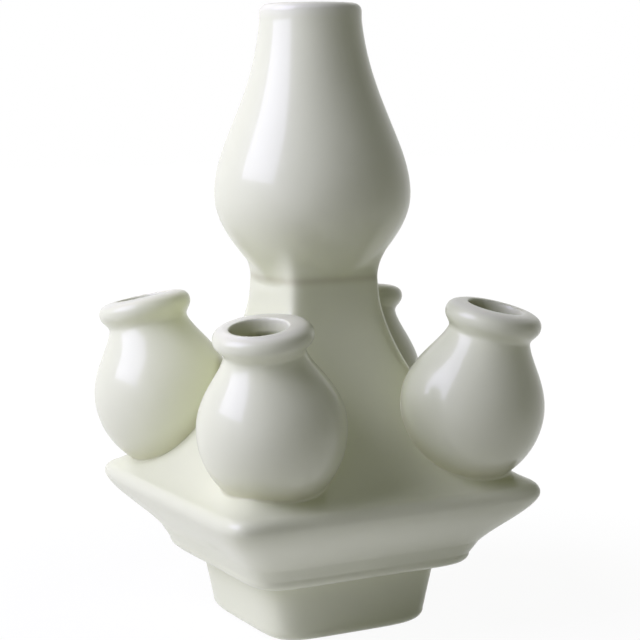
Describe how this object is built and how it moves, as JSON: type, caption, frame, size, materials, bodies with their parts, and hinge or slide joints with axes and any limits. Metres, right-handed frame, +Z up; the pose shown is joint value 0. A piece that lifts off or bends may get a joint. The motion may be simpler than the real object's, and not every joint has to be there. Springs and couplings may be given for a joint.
{
  "type": "tulip vase",
  "caption": "Top tier of a stacking tulip vase: square foot and ogee cornice, hipped roof with leaning corner spouts, and a pear-shaped neck vase, in pale glazed ceramic.",
  "frame": {"origin": "centre of the underside of the foot, on the surface that the vase stands on", "axes": "+Z up along the neck vase's axis; the square's sides run along X and Y; -Y is the front, and the spouts stand on the diagonals"},
  "size_m": [0.1447, 0.144, 0.2388],
  "materials": {
    "celadon_glaze": "glossy pale grey-green glaze over white clay",
    "bare_clay": "matte unglazed fired clay"
  },
  "bodies": {
    "root": {"foot_collar": "celadon_glaze", "foot_floor": "bare_clay", "cornice_dish": "celadon_glaze", "hipped_roof": "celadon_glaze", "neck_vase": "celadon_glaze", "spout_front_left": "celadon_glaze", "spout_front_right": "celadon_glaze", "spout_rear_right": "celadon_glaze", "spout_rear_left": "celadon_glaze"}
  },
  "joints": []
}
